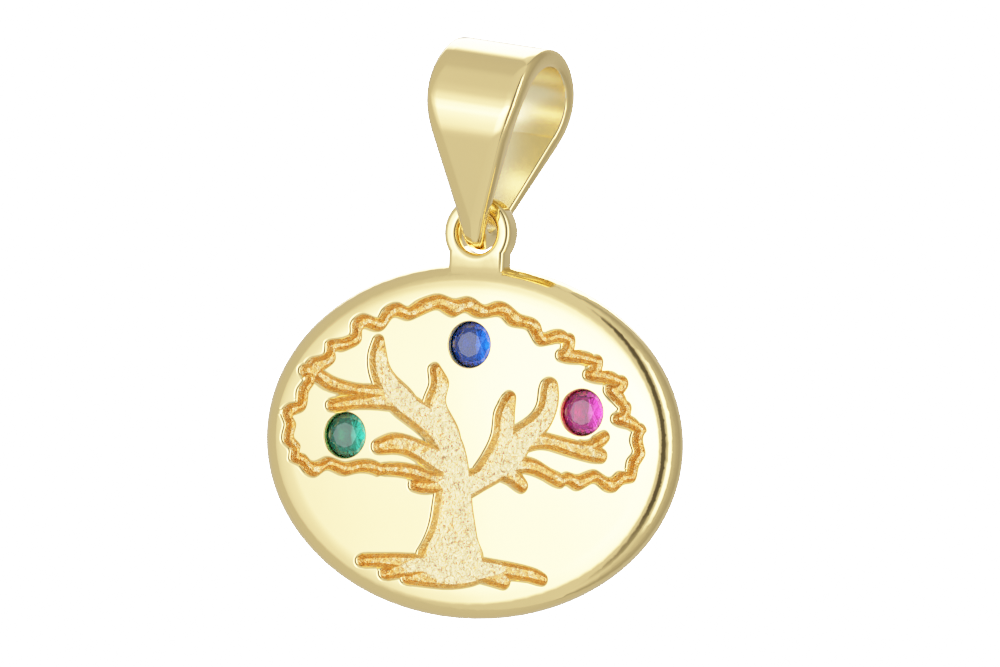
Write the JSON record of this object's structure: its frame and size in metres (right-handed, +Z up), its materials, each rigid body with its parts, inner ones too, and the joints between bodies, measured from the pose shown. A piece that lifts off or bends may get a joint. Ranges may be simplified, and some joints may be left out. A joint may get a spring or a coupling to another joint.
{
  "type": "tree of life pendant",
  "caption": "Oval gold medallion with a sunk tree, a wavy leaf line and small faceted stones, on a soldered ring and a folded, tapered bail that slides onto a chain.",
  "frame": {"origin": "seat of the chain: the highest point inside the bail's crown, where a chain carries the pendant", "axes": "+Z up, +X to the right as one faces the tree, the face of the medallion looks along -Y"},
  "size_m": [0.0155, 0.0048, 0.0198],
  "materials": {
    "gold": "polished gold, sandblasted in the floor of the sunk tree and leaf line",
    "blue_gem": "cut blue stone",
    "green_gem": "cut green stone",
    "pink_gem": "cut pink stone"
  },
  "bodies": {
    "bail": {"bail": "gold"},
    "pendant": {"medallion": "gold", "blue_stone": "blue_gem", "green_stone": "green_gem", "pink_stone": "pink_gem"}
  },
  "joints": [
    {"name": "swing", "type": "hinge", "parent": "bail", "child": "pendant", "pos_m": [-0.00055, 0, -0.0051], "axis": [1, 0, 0], "range_deg": [-60, 60]}
  ]
}
